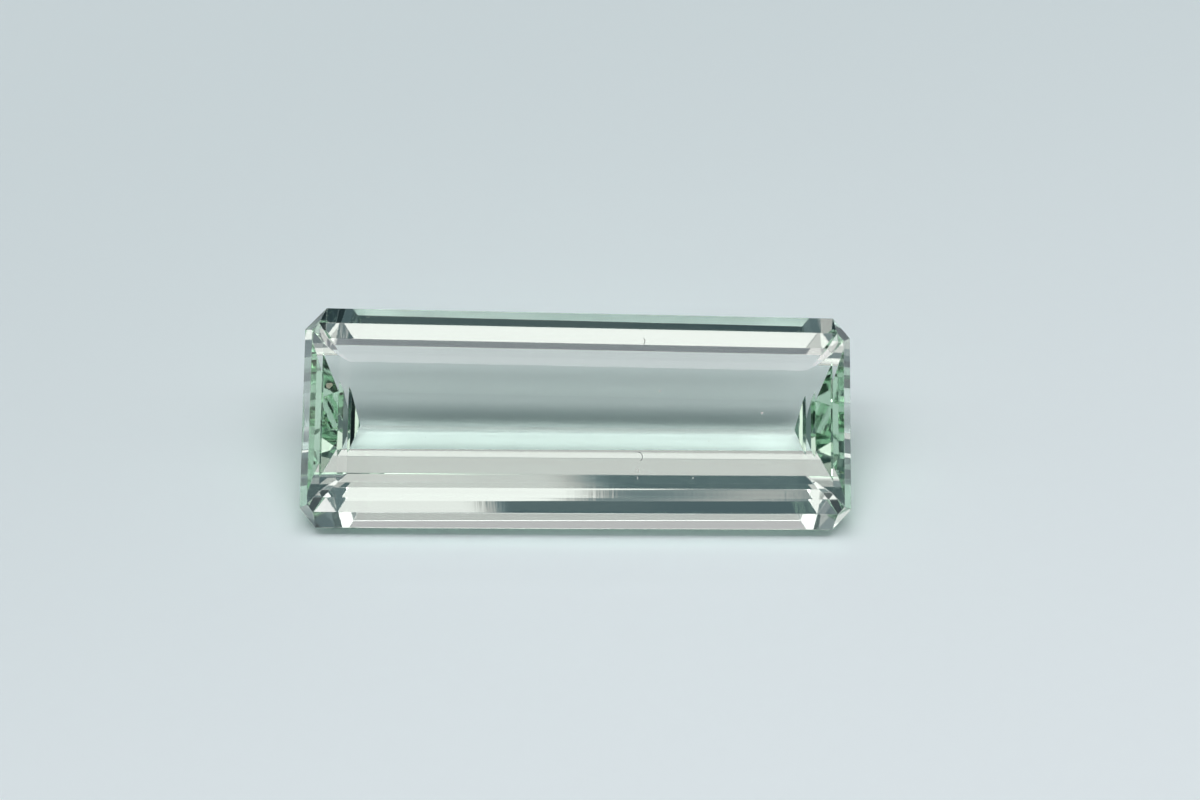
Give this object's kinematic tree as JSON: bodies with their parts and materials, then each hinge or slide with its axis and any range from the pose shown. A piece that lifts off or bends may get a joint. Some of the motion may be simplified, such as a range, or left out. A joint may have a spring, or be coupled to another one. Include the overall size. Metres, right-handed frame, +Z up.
{
  "type": "faceted beryl gemstone",
  "caption": "Long step-cut beryl with cut corners, pale green and nearly clear, a polished one-piece gemstone lying on a lower side facet.",
  "frame": {"origin": "centre of the bounding box in plan, at the facet that the stone lies on", "axes": "+X along the stone's length, +Z up, and the table facet tips towards -Y"},
  "size_m": [0.0292, 0.0098, 0.0079],
  "materials": {
    "crystal": "polished"
  },
  "bodies": {
    "root": {"beryl_crystal": "crystal"}
  },
  "joints": []
}
